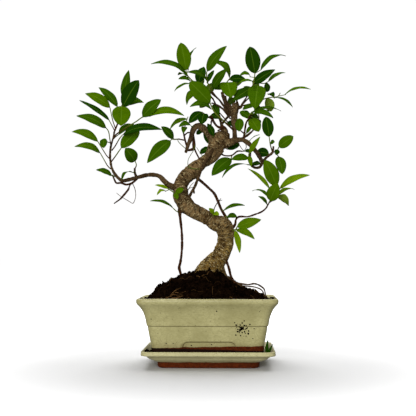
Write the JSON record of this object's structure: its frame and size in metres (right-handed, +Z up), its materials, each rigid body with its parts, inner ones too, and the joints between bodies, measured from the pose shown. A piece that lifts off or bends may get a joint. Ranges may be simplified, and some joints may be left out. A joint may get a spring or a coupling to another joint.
{
  "type": "bonsai tree in a pot",
  "caption": "Small fig bonsai with an S-bent trunk, aerial roots and loose leafy shoots, in a cream glazed rectangular pot on a matching saucer.",
  "frame": {"origin": "centre of the saucer's flat underside, on the surface it stands on", "axes": "+X to the right as seen from the front, +Y away from the viewer, +Z up along the tree"},
  "size_m": [0.2846, 0.1253, 0.3855],
  "materials": {
    "glaze": "satin cream glaze over terracotta, bare at the foot",
    "soil": "dark fibrous potting soil",
    "bark": "tan and brown bark with pale flecks",
    "leaf_young": "pale young leaf",
    "leaf_bright": "glossy bright green leaf",
    "leaf_mid": "glossy green leaf",
    "leaf_dark": "glossy dark green leaf"
  },
  "bodies": {
    "root": {"saucer": "glaze", "pot": "glaze", "soil": "soil", "tree_wood": "bark", "left_top": "leaf_mid", "left_leaf_upper": "leaf_mid", "left_leaf_middle": "leaf_mid", "left_leaf_lower": "leaf_mid", "left_leaf_small": "leaf_mid", "left_leaf_low": "leaf_mid", "left_side_shoot": "leaf_mid", "left_side_leaf": "leaf_dark", "left_side_back_leaf": "leaf_mid", "left_side_low_leaf": "leaf_mid", "left_stub_leaf": "leaf_mid", "left_drooping_leaf": "leaf_mid", "crown_left": "leaf_bright", "crown_middle": "leaf_bright", "crown_middle_low": "leaf_dark", "crown_inner_leaf": "leaf_dark", "crown_inner_leaf_back": "leaf_dark", "trunk_top_leaf_left": "leaf_dark", "trunk_top_leaf_right": "leaf_dark", "tangle_leaves": "leaf_mid", "tangle_leaf_side": "leaf_mid", "middle_left": "leaf_mid", "crown_top": "leaf_bright", "crown_centre": "leaf_bright", "crown_right": "leaf_bright", "crown_low_leaf": "leaf_mid", "crown_far_right": "leaf_mid", "right_twig_leaves": "leaf_mid", "right_twig_back_leaf": "leaf_mid", "right_twig_front_leaf": "leaf_bright", "upright_leaf": "leaf_mid", "right_twig_low_leaf": "leaf_mid", "fork_shoot": "leaf_mid", "fork_leaves": "leaf_mid", "fork_back_leaf": "leaf_dark", "loop_shoot": "leaf_young", "loop_long_leaf": "leaf_mid", "loop_back_leaf": "leaf_dark", "branch_thin_leaf": "leaf_mid", "under_leaf": "leaf_mid", "under_leaf_end": "leaf_dark", "low_right": "leaf_bright", "trunk_shoot_right": "leaf_bright", "aerial_root_leaf": "leaf_mid", "bend_leaf": "leaf_mid", "bend_shoot": "leaf_young", "trunk_shoot_left": "leaf_young", "trunk_low_leaf": "leaf_mid", "back_left": "leaf_mid", "back_middle": "leaf_mid", "back_right": "leaf_mid", "back_low": "leaf_dark", "fallen_leaf": "leaf_dark"}
  },
  "joints": []
}
